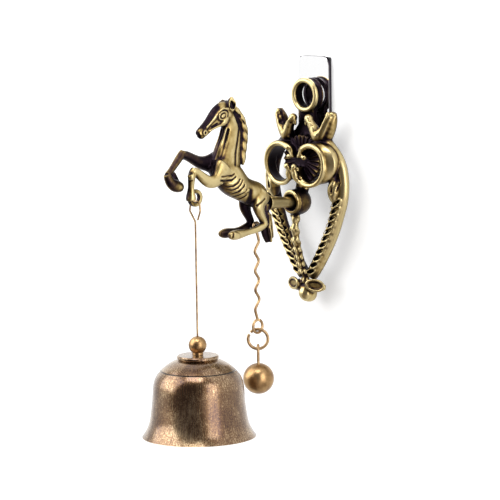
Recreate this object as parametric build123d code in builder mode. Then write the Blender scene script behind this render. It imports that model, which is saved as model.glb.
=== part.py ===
"""Door chime: a cast scroll ornament on a wall strip carries a rearing horse, whose forefoot
holds a bell on a wire and whose hind legs hold a striker ball on a zigzag wire."""
from build123d import *
import math
import os

os.makedirs("parts", exist_ok=True)

# Frame: the wall is the plane Y = 0 and the chime stands out towards -Y, with +Z up.
# The origin is the middle of the strip. A depth is a distance out from the strip's face.

# wall strip and its foam pad
strip_width = 15.4
strip_length = 40.5
strip_thick = 1.0
strip_corner = 3.5
strip_edge = 0.2
pad_thick = 0.7
pad_inset = 0.35
seat = strip_thick + pad_thick

# ring at the top of the ornament: a short tube with a flange behind and a round lip in front
ring_z = 6.5
ring_back = 0.9
ring_front = 4.9
ring_radius = 5.5
ring_bore = 4.35
lip_radius = 0.97
flange_radius = 6.1
flange_thick = 0.7

# cast lobes: how blunt their two ends are, as shares of the widest radius
tip_share = 0.12
root_share = 0.45

# web between the ring, the birds and the rosette
web_back = 1.8
web_thick = 2.0
web_half_top = 3.4
web_half_foot = 8.6
web_foot_z = -9.5

# birds beside the ring
bird_depth = 6.6
wing_depth = 3.8
feather_count = 4
feather_radius = 0.95

# rosette behind the scrolls
rosette_z = -16.4
rosette_radius = 8.6
rosette_thick = 6.3
rib_count = 26
rib_width = 0.85
rib_height = 0.6
rib_reach = 0.4

# magnet in the back of the rosette
magnet_radius = 5.0
magnet_thick = 1.6
magnet_gap = 0.05

# the two C scrolls
scroll_x = 7.4
scroll_z = -17.8
scroll_half_width = 7.0
scroll_half_height = 7.4
scroll_back = 5.7
scroll_front = 10.2
scroll_wall = 1.1
rim_radius = 0.8
curl_radius = 1.05
crescent_reach = 1.55
crescent_front = 7.8
crescent_lift = 0.7
mouth_width = 4.0
mouth_height = 3.4

# legs of the ornament
leg_depth = 3.9
leg_half_depth = 2.2
slot_count = 11
slot_length = 5.6
slot_width = 1.3
slot_slope = 32.0
slot_turn = 14.0
slot_sink = 2.4
leaf_radius = 2.5

# boss that carries the horse
boss_z = -31.2
boss_back = 4.2
boss_front = 12.2
boss_radius = 4.7
boss_rim_radius = 4.0
boss_lip = 0.55
socket_radius = 2.75
socket_depth = 1.5

# screw from the back of the boss into the arm
screw_radius = 1.0
screw_head_radius = 1.9
screw_head_thick = 1.3
screw_grip = 4.0

# husk strand and finial
strand_radius = 1.15
husk_radius = 1.2
husk_length = 3.6
husk_spread = 1.0
husk_shrink = 0.05
bud_z = -63.9
bud_depth = 3.6
bud_radius = 3.0
bud_length = 8.0
petal_length = 7.6
petal_rise = 1.9

# arm from the boss to the horse's rump
arm_tip_radius = 2.1
arm_waist_radius = 1.95
arm_rump_radius = 2.75
arm_rise = 1.2
arm_length = 13.5

# horse
horse_half_gap = 3.0
rib_pairs = 5
rib_pitch = 2.0
rib_radius = 0.95
hang_y = -61.3
eyelet_z = -24.9
eyelet_radius = 3.05
eyelet_bore = 1.65
eyelet_thick = 1.75

# cross bar between the hind legs
bar_y = -31.6
bar_z = -37.9
bar_radius = 0.8

# bell wire, bead and bell
bell_wire_radius = 0.325
wire_gap = 0.12
eye_half_width = 2.4
eye_drop = 6.4
bell_top_z = -79.8
bead_radius = 3.15
bead_lift = 3.5
bead_z = bell_top_z + bead_lift
bead_neck_radius = 1.9
bell_height = 28.8
bell_rim_radius = 20.0
bell_wall = 0.95
bell_line_radius = 13.0
bell_line_drop = 5.25
bell_line_width = 0.22
crown_radius = 7.35
crown_thick = 1.1
crown_bore = 0.55
crown_pad = 0.55
retainer_radius = 2.6
retainer_thick = 0.8
pass_gap = 0.04
spin_gap = 0.1

# striker
striker_wire_radius = 0.5
zigzag_swing = 1.3
zigzag_pitch = 6.85
zigzag_turns = 4
zigzag_top_z = -41.6
eye_radius = 2.3
jump_radius = 3.5
jump_wire_radius = 0.55
staple_radius = 1.25
staple_wire_radius = 0.5
ball_radius = 5.5
ball_z = -92.2
link_gap = 0.2


def front(depth):
    """Plane parallel to the wall, out from the strip's face."""
    return Plane.XZ.offset(seat + depth)


def point(x, depth, z):
    """Place given by its depth out from the strip's face."""
    return Vector(x, -(seat + depth), z)


def lobe(tip, root, radius, fullness=0.6, mode=Mode.ADD):
    """Cast lobe, round in section, from a slim tip to a blunt root."""
    run = root - tip
    side = run.cross(Vector(0, 1, 0.01))
    with BuildSketch(Plane(origin=tip, x_dir=run, z_dir=run.cross(side))) as profile:
        with BuildLine():
            crest = Spline(
                (0, radius * tip_share),
                (run.length * fullness, radius),
                (run.length, radius * root_share),
            )
            Polyline(crest @ 1, (run.length, 0), (0, 0), crest @ 0)
        make_face()
    revolve(profile.sketch, axis=Axis(tip, run), mode=mode)


def blend(centres, radii, across):
    """Loft of ellipses that stand square to the line through their centres."""
    last = len(centres) - 1
    sections = []
    for index, centre in enumerate(centres):
        heading = centres[min(index + 1, last)] - centres[max(index - 1, 0)]
        with BuildSketch(Plane(origin=centre, x_dir=across, z_dir=heading)) as section:
            Ellipse(*radii[index])
        sections.append(section.sketch)
    loft(sections)


def limb(stations):
    """Limb of the horse, through stations of (x, y, z, half width in X, half depth across)."""
    blend([Vector(*station[:3]) for station in stations], [station[3:] for station in stations], (1, 0, 0))


def branch(stations):
    """Branch of the ornament, through stations of (x, depth, z, half depth, half width)."""
    blend([point(*station[:3]) for station in stations], [station[3:] for station in stations], (0, -1, 0))


def on_barrel(side, along, down, out):
    """Place on the barrel: along it towards the rump, down to the belly and out from the middle."""
    return Vector(side * out, -46.0 + 0.75 * along - 0.66 * down, -18.0 - 0.66 * along - 0.75 * down)


# wall strip with rounded top corners
with BuildPart() as strip:
    with BuildSketch(Plane.XZ.offset(pad_thick)):
        Rectangle(strip_width, strip_length)
    extrude(amount=strip_thick)
    fillet(strip.edges().filter_by(Axis.Y).group_by(Axis.Z)[-1], strip_corner)
    chamfer(strip.faces().sort_by(Axis.Y)[0].edges(), strip_edge)
strip.part.label = "wall_strip"
export_step(strip.part, "parts/wall_strip.step")

# foam pad between the strip and the wall
with BuildPart() as pad:
    with BuildSketch(Plane.XZ):
        Rectangle(strip_width - 2 * pad_inset, strip_length - 2 * pad_inset)
    extrude(amount=pad_thick)
    fillet(pad.edges().filter_by(Axis.Y).group_by(Axis.Z)[-1], strip_corner - pad_inset)
pad.part.label = "foam_pad"
export_step(pad.part, "parts/foam_pad.step")

# cast ornament: middle line and half width of a leg, and the rim of a scroll with its curled ends
leg_line = [(9.6, -8.8, 2.0), (13.4, -13.4, 2.4), (16.6, -19.0, 2.7), (17.2, -25.0, 2.9),
            (16.4, -30.3, 3.0), (14.8, -35.2, 2.9), (12.8, -40.6, 2.7), (10.4, -45.2, 2.7),
            (7.7, -49.6, 2.7), (4.9, -53.9, 2.6), (1.6, -58.2, 2.3)]
rim_line = [(3.8, 9.0, -15.2), (2.5, 9.1, -14.6), (2.3, 9.4, -12.9), (4.4, 9.8, -11.2), (8.0, 10.1, -10.6),
            (11.6, 10.2, -12.0), (13.8, 10.2, -15.5), (13.8, 10.2, -19.3), (11.8, 10.2, -22.8),
            (8.2, 10.3, -24.8), (4.3, 10.6, -24.5), (1.6, 11.3, -22.5), (0.9, 12.0, -20.0), (1.8, 12.3, -18.3)]

with BuildPart() as half:
    # leg, one bowed bar from the bird down to the finial
    branch([(x, leg_depth, z, leg_half_depth, wide) for x, z, wide in leg_line])
    # slanted slots on the inner side of the leg
    for index in range(slot_count):
        share = index / (slot_count - 1)
        slot_x = 15.5 - 12.6 * share ** 1.3
        slot_z = -31.0 - 25.4 * share
        with BuildSketch(front(leg_depth + leg_half_depth)):
            with Locations((slot_x, slot_z)):
                Ellipse(slot_length / 2 * (1 - 0.25 * share), slot_width / 2, rotation=slot_slope - slot_turn * share)
        extrude(amount=-slot_sink, mode=Mode.SUBTRACT)
    # almond leaf with a slit at the top of the leg
    lobe(point(16.0, leg_depth + 2.0, -21.0), point(14.4, leg_depth + 1.6, -30.4), leaf_radius, 0.6)
    lobe(point(15.9, leg_depth + 4.5, -22.8), point(15.0, leg_depth + 4.1, -28.4), 0.55, 0.5, Mode.SUBTRACT)
    # raised wing and the feathers on its inner edge
    branch([
        (8.8, wing_depth, -9.6, 1.9, 1.9),
        (10.2, wing_depth, -7.0, 2.2, 2.5),
        (11.5, wing_depth, -4.0, 2.2, 2.6),
        (12.7, wing_depth, -1.0, 1.9, 2.0),
        (13.5, wing_depth, 1.0, 1.1, 1.0),
    ])
    for index in range(feather_count):
        rise = 2.3 * index
        root = point(8.9 + 0.42 * rise, wing_depth + 1.6, -8.6 + rise)
        lobe(root + Vector(0.1 * rise, -0.2, 3.2), root, feather_radius, 0.55)
    # breast, neck and head of the bird, looking down to the middle
    branch([
        (8.3, bird_depth - 1.4, -9.8, 1.4, 1.5),
        (7.3, bird_depth - 0.6, -7.4, 2.2, 2.3),
        (6.0, bird_depth - 0.2, -4.9, 1.8, 1.8),
        (4.7, bird_depth, -2.9, 1.5, 1.4),
        (3.9, bird_depth, -1.7, 1.3, 1.3),
    ])
    with Locations(point(3.8, bird_depth, -1.5)):
        Sphere(1.55)
    lobe(point(2.5, bird_depth, -4.4), point(3.2, bird_depth + 0.2, -1.8), 0.75, 0.6)
    # folded wing of the bird
    lobe(point(9.9, bird_depth - 0.2, -4.0), point(8.0, bird_depth, -8.2), 1.25)
    lobe(point(8.9, bird_depth + 0.7, -5.6), point(7.7, bird_depth + 0.5, -8.8), 1.0)
    # scroll: a wall round an oval opening, flared on its outer side
    with BuildSketch(front(scroll_back)):
        with Locations((scroll_x + crescent_reach, scroll_z + crescent_lift)):
            Ellipse(scroll_half_width + crescent_reach, scroll_half_height)
    extrude(amount=crescent_front - scroll_back)
    with BuildSketch(front(crescent_front)):
        with Locations((scroll_x + crescent_reach, scroll_z + crescent_lift)):
            Ellipse(scroll_half_width + crescent_reach, scroll_half_height)
    with BuildSketch(front(scroll_front)):
        with Locations((scroll_x, scroll_z)):
            Ellipse(scroll_half_width, scroll_half_height)
    loft()
    with BuildSketch(front(0)):
        with Locations((scroll_x, scroll_z)):
            Ellipse(scroll_half_width - scroll_wall, scroll_half_height - scroll_wall)
    extrude(amount=scroll_front + 1, mode=Mode.SUBTRACT)
    # mouth of the C, towards the middle
    with BuildSketch(front(scroll_back)):
        with Locations((scroll_x - scroll_half_width, scroll_z + 0.7)):
            Rectangle(mouth_width, mouth_height)
    extrude(amount=scroll_front, mode=Mode.SUBTRACT)
    # rounded rim of the scroll, which ends in two curls
    rim_points = [point(*place) for place in rim_line]
    with BuildLine() as rim:
        Spline(*rim_points)
    with BuildSketch(Plane(origin=rim.line @ 0, z_dir=rim.line % 0)):
        Circle(rim_radius)
    sweep(path=rim.line)
    with Locations(rim.line @ 0, rim.line @ 1):
        Sphere(curl_radius)
    lobe(point(1.4, 12.2, -18.6), point(1.6, 10.9, -23.6), 1.2, 0.5)
    # spoon-shaped petal of the finial
    petal_z = bud_z + petal_rise
    branch([
        (0.1 * petal_length, bud_depth + 2.2, petal_z + 0.4, 1.0, 1.5),
        (0.4 * petal_length, bud_depth + 1.8, petal_z + 0.1, 1.3, 2.1),
        (0.75 * petal_length, bud_depth + 0.5, petal_z, 1.2, 1.8),
        (petal_length, bud_depth - 0.8, petal_z - 0.2, 0.6, 0.8),
    ])
    lobe(point(0.95 * petal_length, bud_depth + 1.3, petal_z), point(0.25 * petal_length, bud_depth + 4.2, petal_z),
         1.2, 0.5, Mode.SUBTRACT)

with BuildPart() as escutcheon:
    add(half.part)
    mirror(half.part, about=Plane.YZ)
    # web that ties ring, birds, rosette and scrolls together
    with BuildSketch(front(web_back)):
        with BuildLine():
            Polyline(
                (-web_half_top, ring_z - ring_radius + 1),
                (web_half_top, ring_z - ring_radius + 1),
                (web_half_top, web_foot_z / 3),
                (web_half_foot, web_foot_z),
                (-web_half_foot, web_foot_z),
                (-web_half_top, web_foot_z / 3),
                close=True,
            )
        make_face()
    extrude(amount=web_thick)
    # ring, turned about its own axis
    with BuildSketch(Plane(origin=point(0, 0, ring_z), x_dir=(1, 0, 0), z_dir=(0, 0, -1))):
        with BuildLine():
            Polyline(
                (ring_bore, ring_front - lip_radius),
                (ring_bore, ring_back),
                (flange_radius, ring_back),
                (flange_radius, ring_back + flange_thick),
                (ring_radius, ring_back + flange_thick),
                (ring_radius, ring_front - lip_radius),
                (ring_bore + 2 * lip_radius, ring_front - lip_radius),
            )
            ThreePointArc(
                (ring_bore + 2 * lip_radius, ring_front - lip_radius),
                (ring_bore + lip_radius, ring_front),
                (ring_bore, ring_front - lip_radius),
            )
        make_face()
    revolve(axis=Axis(point(0, 0, ring_z), (0, -1, 0)))
    with BuildSketch(front(0)):
        with Locations((0, ring_z)):
            Circle(ring_bore)
    extrude(amount=ring_front, mode=Mode.SUBTRACT)
    # rosette with radial ribs that run round its edge
    with BuildSketch(front(0)):
        with Locations((0, rosette_z)):
            Circle(rosette_radius)
    extrude(amount=rosette_thick)
    with BuildSketch(front(0)):
        with Locations((0, rosette_z)):
            with PolarLocations((rosette_radius + rib_reach) / 2, rib_count):
                Rectangle(rosette_radius + rib_reach, rib_width)
    extrude(amount=rosette_thick)
    with BuildSketch(front(rosette_thick)):
        with Locations((0, rosette_z)):
            with PolarLocations((rosette_radius + rib_reach) / 2, rib_count):
                Rectangle(rosette_radius + rib_reach, rib_width)
    extrude(amount=rib_height, taper=30)
    # neck from the rosette down to the boss
    branch([
        (0, rosette_thick - 1.2, rosette_z - 7.2, 1.8, 3.4),
        (0, rosette_thick, rosette_z - 10.2, 2.0, 2.8),
        (0, boss_back + 3.4, boss_z + 0.8, 2.4, 2.4),
    ])
    # boss: a cup turned towards the room, with a round lip
    boss_plane = Plane(origin=point(0, 0, boss_z), x_dir=(0, -1, 0), z_dir=(1, 0, 0))
    with BuildSketch(boss_plane):
        with BuildLine():
            bowl = Spline(
                (boss_back, 0),
                (boss_back + 4.4, boss_radius),
                (boss_front, boss_rim_radius),
                tangents=[(0, 1), (1, -0.35)],
            )
            Line(bowl @ 1, (boss_front, 0))
            Line((boss_front, 0), bowl @ 0)
        make_face()
        with Locations((boss_front, boss_rim_radius - boss_lip)):
            Circle(boss_lip)
    revolve(axis=Axis(point(0, 0, boss_z), (0, -1, 0)))
    with BuildSketch(front(boss_front)):
        with Locations((0, boss_z)):
            Circle(socket_radius)
    extrude(amount=-socket_depth, mode=Mode.SUBTRACT)
    # hanging husks, one below the other on a bowed stem
    husk_places = [(9.6, -35.4), (10.1, -40.2), (9.7, -44.4), (8.9, -47.8), (8.0, -50.6), (7.1, -53.2),
                   (6.2, -56.0), (4.6, -60.0)]
    stem_points = [point(0, depth, z) for depth, z in husk_places]
    with BuildLine():
        stem = Spline(*stem_points)
    with BuildSketch(Plane(origin=stem @ 0, z_dir=stem % 0)):
        Circle(strand_radius)
    sweep(path=stem)
    for index in range(len(stem_points) - 1):
        above = stem_points[index]
        size = 1 - husk_shrink * index
        drop = (stem_points[index + 1] - above).normalized() * husk_length * size
        for side in (-1, 0, 1):
            spread = Vector(side * husk_spread * size, abs(side) * husk_spread - husk_spread, 0)
            lobe(above + spread + drop, above, husk_radius * size, 0.4)
    # bud at the foot
    with BuildSketch(Plane(origin=point(0, bud_depth, bud_z), x_dir=(1, 0, 0), z_dir=(0, -1, 0))):
        with BuildLine():
            side = Spline(
                (0, -bud_length / 2),
                (bud_radius, -bud_length * 0.1),
                (bud_radius * 0.8, bud_length / 2),
                tangents=[(1, 0), (0, 1)],
            )
            Line(side @ 1, (0, bud_length / 2))
            Line((0, bud_length / 2), side @ 0)
        make_face()
    revolve(axis=Axis(point(0, bud_depth, bud_z), (0, 0, 1)))
    # pocket for the magnet
    with BuildSketch(front(0)):
        with Locations((0, rosette_z)):
            Circle(magnet_radius + magnet_gap)
    extrude(amount=magnet_thick + magnet_gap, mode=Mode.SUBTRACT)
    # screw hole through the boss, wide at the back for the head
    with BuildSketch(front(boss_back - 1)):
        with Locations((0, boss_z)):
            Circle(screw_radius + magnet_gap)
    extrude(amount=boss_front - boss_back, mode=Mode.SUBTRACT)
    with BuildSketch(front(0)):
        with Locations((0, boss_z)):
            Circle(screw_head_radius + magnet_gap)
    extrude(amount=boss_back + screw_head_thick, mode=Mode.SUBTRACT)
escutcheon.part.label = "escutcheon"
export_step(escutcheon.part, "parts/escutcheon.step")

# magnet that holds the casting on the strip
with BuildPart() as magnet:
    with BuildSketch(front(0)):
        with Locations((0, rosette_z)):
            Circle(magnet_radius)
    extrude(amount=magnet_thick)
magnet.part.label = "magnet"
export_step(magnet.part, "parts/magnet.step")

# screw through the boss into the arm
screw_seat = boss_back + screw_head_thick
screw_tip = boss_front - socket_depth + screw_grip
with BuildPart() as screw:
    with BuildSketch(front(screw_seat)):
        with Locations((0, boss_z)):
            Circle(screw_head_radius)
    extrude(amount=-screw_head_thick)
    with BuildSketch(front(screw_seat)):
        with Locations((0, boss_z)):
            Circle(screw_radius)
    extrude(amount=screw_tip - screw_seat)
screw.part.label = "arm_screw"
export_step(screw.part, "parts/arm_screw.step")

# horse, cast in one piece with the arm, the eyelet and the cross bar
arm_start = point(0, boss_front - socket_depth, boss_z)
arm_end = arm_start + Vector(0, -arm_length, arm_rise)
arm_run = arm_end - arm_start

with BuildPart() as horse:
    # arm, waisted in the middle
    with BuildSketch(Plane(origin=arm_start, x_dir=arm_run, z_dir=(1, 0, 0))):
        with BuildLine():
            flank = Spline(
                (0, arm_tip_radius),
                (arm_run.length * 0.4, arm_waist_radius),
                (arm_run.length, arm_rump_radius),
            )
            Polyline(flank @ 1, (arm_run.length, 0), (0, 0), flank @ 0)
        make_face()
    revolve(axis=Axis(arm_start, arm_run))
    # the arm's foot is faced off where it meets the socket's floor
    with BuildSketch(front(boss_front - socket_depth)):
        with Locations((0, boss_z)):
            Circle(2 * arm_tip_radius)
    extrude(amount=-arm_tip_radius, mode=Mode.SUBTRACT)
    # barrel and quarters
    limb([
        (0, -51.6, -13.0, 2.6, 3.0),
        (0, -49.6, -14.8, 3.9, 4.6),
        (0, -46.0, -18.0, 4.5, 5.5),
        (0, -42.0, -21.5, 4.5, 5.3),
        (0, -37.5, -24.3, 3.9, 4.4),
        (0, -33.0, -26.2, 4.1, 4.6),
        (0, -29.6, -27.8, 3.4, 3.9),
        (0, -27.2, -28.8, 2.2, 2.5),
    ])
    # neck
    limb([
        (0, -46.4, -15.4, 3.8, 6.4),
        (0, -45.4, -11.0, 3.4, 5.9),
        (0, -44.0, -6.6, 2.7, 4.9),
        (0, -43.4, -2.4, 2.3, 4.1),
        (0, -44.6, 1.6, 2.1, 3.4),
        (0, -46.0, 3.6, 1.6, 2.4),
    ])
    # head, poll to muzzle
    limb([
        (0, -43.6, 4.4, 1.6, 2.6),
        (0, -46.2, 3.4, 2.4, 4.1),
        (0, -49.2, 2.5, 2.5, 4.0),
        (0, -52.4, 0.9, 2.0, 3.0),
        (0, -55.4, -1.2, 1.6, 2.3),
        (0, -57.8, -2.7, 1.55, 2.05),
        (0, -59.2, -3.4, 1.2, 1.5),
    ])
    for side in (-1, 1):
        # cupped ear
        lobe(Vector(2.3 * side, -45.0, 9.0), Vector(1.3 * side, -44.6, 3.6), 1.8, 0.6)
        lobe(Vector(3.4 * side, -45.2, 8.6), Vector(2.9 * side, -45.2, 4.6), 1.1, 0.5, Mode.SUBTRACT)
        # eye and the cheek behind it
        lobe(Vector(1.9 * side, -51.3, 1.9), Vector(2.1 * side, -48.0, 3.3), 0.95, 0.5)
        lobe(Vector(1.6 * side, -50.6, -0.8), Vector(1.4 * side, -46.4, 2.4), 1.6, 0.5)
        # nostril
        lobe(Vector(1.6 * side, -59.4, -2.8), Vector(1.9 * side, -57.9, -2.4), 0.4, 0.5, Mode.SUBTRACT)
    # forelock
    lobe(Vector(0.3, -50.6, 5.9), Vector(0, -46.2, 6.4), 1.0, 0.5)
    # mane, a row of locks that fall from the crest
    locks = [(-43.6, 5.4, -38.6, 0.2), (-41.8, 4.0, -36.9, -3.0), (-40.2, 1.0, -36.6, -6.2),
             (-39.2, -2.2, -37.6, -9.4), (-39.2, -5.4, -38.8, -12.4), (-39.8, -8.6, -39.6, -15.6)]
    for index, (root_y, root_z, tip_y, tip_z) in enumerate(locks):
        lean = 0.5 + 0.25 * index
        lobe(Vector(lean, tip_y, tip_z), Vector(0.6, root_y, root_z), 1.75, 0.62)
    # near foreleg, its hoof grown into the eyelet
    limb([
        (2.2, -49.0, -15.0, 2.4, 4.0),
        (2.7, -52.6, -18.4, 1.9, 3.0),
        (2.7, -56.4, -19.6, 1.6, 2.2),
        (2.4, -60.4, -17.4, 1.4, 1.8),
        (2.0, -63.6, -15.4, 1.4, 1.6),
    ])
    limb([
        (2.0, -62.9, -14.6, 1.3, 1.3),
        (1.9, -64.3, -16.6, 1.4, 1.4),
        (1.5, -64.4, -19.4, 1.2, 1.15),
        (1.1, -64.2, -22.0, 1.3, 1.2),
        (1.0, -64.2, -23.4, 1.6, 1.5),
        (1.0, -64.0, -25.4, 1.8, 1.8),
    ])
    # far foreleg, knee high and hoof tucked back
    limb([
        (-2.2, -49.6, -13.6, 2.4, 3.6),
        (-2.7, -53.6, -13.8, 1.9, 2.7),
        (-2.8, -57.6, -12.6, 1.6, 2.0),
        (-2.7, -61.4, -10.8, 1.5, 1.7),
        (-2.6, -64.6, -9.8, 1.4, 1.5),
    ])
    limb([
        (-2.6, -64.0, -9.0, 1.3, 1.3),
        (-2.5, -66.2, -11.0, 1.35, 1.35),
        (-2.3, -69.4, -14.0, 1.15, 1.15),
        (-2.1, -72.0, -16.2, 1.2, 1.3),
    ])
    limb([
        (-2.1, -72.4, -15.9, 1.2, 1.3),
        (-2.0, -71.3, -18.2, 1.6, 1.7),
        (-1.8, -69.4, -19.9, 1.8, 2.1),
        (-1.6, -67.2, -20.7, 1.8, 1.9),
        (-1.5, -66.0, -21.1, 1.2, 1.3),
    ])
    # hind legs: thigh to hock, then hock to hoof
    for side, shift, reach in ((1, 0.0, 3.4), (-1, -0.7, 1.4)):
        gap = horse_half_gap * side
        limb([
            (gap * 0.6, -30.6 + shift, -25.6, 2.4, 3.6),
            (gap * 0.85, -32.6 + shift, -28.6, 2.3, 3.6),
            (gap, -33.2 + shift, -31.2, 1.8, 2.3),
            (gap, -32.0 + shift, -34.0, 1.5, 1.6),
            (gap, -30.7 + shift, -36.6, 1.4, 1.4),
        ])
        limb([
            (gap, -30.0 + shift, -36.4, 1.3, 1.3),
            (gap, -32.2 + shift, -37.8, 1.3, 1.3),
            (gap, -35.4 + shift, -38.6, 1.15, 1.15),
            (gap, -38.2 + shift - 0.4 * reach, -39.0, 1.2, 1.2),
            (gap, -40.0 + shift - 0.8 * reach, -39.2, 1.6, 1.6),
            (gap, -42.4 + shift - reach, -39.3, 1.6, 1.7),
            (gap, -44.6 + shift - reach, -39.2, 0.8, 0.9),
        ])
    # tail
    limb([
        (0, -26.4, -30.4, 1.2, 1.6),
        (0, -27.2, -33.6, 1.3, 1.7),
        (0, -27.4, -37.4, 1.3, 2.0),
        (0, -26.6, -41.0, 1.2, 2.0),
        (0, -25.8, -44.0, 0.8, 1.1),
    ])
    # ribs, slanted over the flanks
    for side in (-1, 1):
        for index in range(rib_pairs):
            back = 1.5 + rib_pitch * index
            lobe(on_barrel(side, back - 4.4, 4.2, 2.6), on_barrel(side, back, -0.4, 4.1), rib_radius, 0.5)
    # eyelet at the near forefoot
    with BuildSketch(Plane.YZ.offset(-eyelet_thick / 2)):
        with Locations((hang_y, eyelet_z)):
            Circle(eyelet_radius)
    extrude(amount=eyelet_thick)
    with BuildSketch(Plane.YZ.offset(-3 * eyelet_thick)):
        with Locations((hang_y, eyelet_z)):
            Circle(eyelet_bore)
    extrude(amount=6 * eyelet_thick, mode=Mode.SUBTRACT)
    # bar between the hind legs
    with BuildSketch(Plane.YZ.offset(-horse_half_gap)):
        with Locations((bar_y, bar_z)):
            Circle(bar_radius)
    extrude(amount=2 * horse_half_gap)
    # tapped hole for the screw
    with BuildSketch(front(boss_front - socket_depth)):
        with Locations((0, boss_z)):
            Circle(screw_radius)
    extrude(amount=screw_grip, mode=Mode.SUBTRACT)
horse.part.label = "horse"
export_step(horse.part, "parts/horse.step")

# bell wire: an open eye through the eyelet, then a straight drop
eye_z = eyelet_z - eyelet_bore + bell_wire_radius + wire_gap
crown_under_z = bell_top_z - crown_thick - crown_pad
retainer_top_z = crown_under_z - spin_gap
wire_end_z = retainer_top_z - retainer_thick - 2 * bell_wire_radius
with BuildPart() as bell_wire:
    with BuildLine(Plane.XZ.offset(-hang_y)) as route:
        FilletPolyline(
            (0.5 * eye_half_width, eye_z - eye_drop),
            (1.05 * eye_half_width, eye_z - 0.5 * eye_drop),
            (0.9 * eye_half_width, eye_z),
            (-0.9 * eye_half_width, eye_z),
            (-1.1 * eye_half_width, eye_z - 0.55 * eye_drop),
            (0, eye_z - 1.1 * eye_drop),
            (0, wire_end_z),
            radius=0.9,
        )
    with BuildSketch(Plane(origin=route.line @ 0, z_dir=route.line % 0)):
        Circle(bell_wire_radius)
    sweep(path=route.line)
    with BuildSketch(Plane.XY.offset(wire_end_z)):
        with Locations((0, hang_y)):
            Circle(2.5 * bell_wire_radius)
    extrude(amount=2 * bell_wire_radius)
bell_wire.part.label = "bell_wire"
export_step(bell_wire.part, "parts/bell_wire.step")

# bead with a short neck, above the bell
with BuildPart() as bead:
    with Locations((0, hang_y, bead_z)):
        Sphere(bead_radius)
    with BuildSketch(Plane.XY.offset(bell_top_z + spin_gap)):
        with Locations((0, hang_y)):
            Circle(bead_neck_radius)
    extrude(amount=bead_z - bell_top_z - spin_gap)
    with BuildSketch(Plane.XY.offset(bead_z - 2 * bead_radius)):
        with Locations((0, hang_y)):
            Circle(bell_wire_radius + pass_gap)
    extrude(amount=4 * bead_radius, mode=Mode.SUBTRACT)
bead.part.label = "bell_bead"
export_step(bead.part, "parts/bell_bead.step")

# bell: outer and inner outline turned about the wire
bell_shares = [(0.5, 0.10), (0.625, 0.165), (0.75, 0.275), (0.79, 0.38), (0.805, 0.52), (0.835, 0.70),
               (0.88, 0.85), (0.94, 0.935), (0.995, 0.99)]
bell_outer = [(bell_rim_radius * r, -bell_height * h) for r, h in bell_shares]
with BuildPart() as bell:
    with BuildSketch(Plane(origin=(0, hang_y, bell_top_z), x_dir=(1, 0, 0), z_dir=(0, -1, 0))) as wall:
        with BuildLine():
            outside = Spline((0.34 * bell_rim_radius, -crown_thick - 0.35), *bell_outer)
            foot = Line(outside @ 1, (bell_rim_radius - 1.5 * bell_wall, -bell_height))
            inner_points = [(r - bell_wall, h - 0.1 * bell_wall) for r, h in reversed(bell_outer[:-1])]
            inside = Spline(foot @ 1, *inner_points)
            Polyline(
                inside @ 1,
                (crown_radius - 2 * bell_wall, -crown_thick - crown_pad),
                (crown_bore, -crown_thick - crown_pad),
                (crown_bore, 0),
                (crown_radius - 0.4, 0),
                (crown_radius, -0.4),
                (crown_radius, -crown_thick + 0.2),
                outside @ 0,
            )
        make_face()
    revolve(axis=Axis((0, hang_y, 0), (0, 0, 1)))
    # engraved line on the shoulder
    with Locations((0, hang_y, bell_top_z - bell_line_drop)):
        Torus(bell_line_radius, bell_line_width, mode=Mode.SUBTRACT)
bell.part.label = "bell"
export_step(bell.part, "parts/bell.step")

# washer under the crown, held by the wire's end
with BuildPart() as retainer:
    with BuildSketch(Plane.XY.offset(retainer_top_z)):
        with Locations((0, hang_y)):
            Circle(retainer_radius)
            Circle(bell_wire_radius + pass_gap, mode=Mode.SUBTRACT)
    extrude(amount=-retainer_thick)
retainer.part.label = "bell_washer"
export_step(retainer.part, "parts/bell_washer.step")

# striker wire: a hook over the bar, a zigzag and an eye
hook_radius = bar_radius + striker_wire_radius + pass_gap
zigzag_end_z = zigzag_top_z - zigzag_pitch * zigzag_turns
eye_centre_z = zigzag_end_z - 2.2 - eye_radius
with BuildPart() as striker_wire:
    with BuildLine(Plane.YZ) as hook:
        CenterArc((bar_y, bar_z), hook_radius, -90, -300)
    with BuildSketch(Plane(origin=hook.line @ 0, z_dir=hook.line % 0)):
        Circle(striker_wire_radius)
    sweep(path=hook.line)
    corners = [(bar_y, bar_z - hook_radius)]
    for index in range(2 * zigzag_turns):
        swing = zigzag_swing if index % 2 == 0 else -zigzag_swing
        corners.append((bar_y + swing, zigzag_top_z - zigzag_pitch * (index + 0.5) / 2))
    corners.append((bar_y, eye_centre_z + eye_radius))
    with BuildLine(Plane.YZ) as zigzag:
        FilletPolyline(*corners, radius=1.6)
    with BuildSketch(Plane(origin=zigzag.line @ 0, z_dir=zigzag.line % 0)):
        Circle(striker_wire_radius)
    sweep(path=zigzag.line)
    with BuildLine(Plane.YZ) as eye:
        CenterArc((bar_y, eye_centre_z), eye_radius, 90, 340)
    with BuildSketch(Plane(origin=eye.line @ 0, z_dir=eye.line % 0)):
        Circle(striker_wire_radius)
    sweep(path=eye.line)
striker_wire.part.label = "striker_wire"
export_step(striker_wire.part, "parts/striker_wire.step")

# jump ring, turned halfway between the eye and the staple
jump_centre_z = eye_centre_z - eye_radius + striker_wire_radius + link_gap + jump_wire_radius - jump_radius
ring_plane = Plane(origin=(0, bar_y, jump_centre_z), x_dir=(1, 1, 0), z_dir=(1, -1, 0))
with BuildPart() as jump_ring:
    with BuildLine(ring_plane) as loop:
        CenterArc((0, 0), jump_radius, 150, 346)
    with BuildSketch(Plane(origin=loop.line @ 0, z_dir=loop.line % 0)):
        Circle(jump_wire_radius)
    sweep(path=loop.line)
jump_ring.part.label = "jump_ring"
export_step(jump_ring.part, "parts/jump_ring.step")

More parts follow.
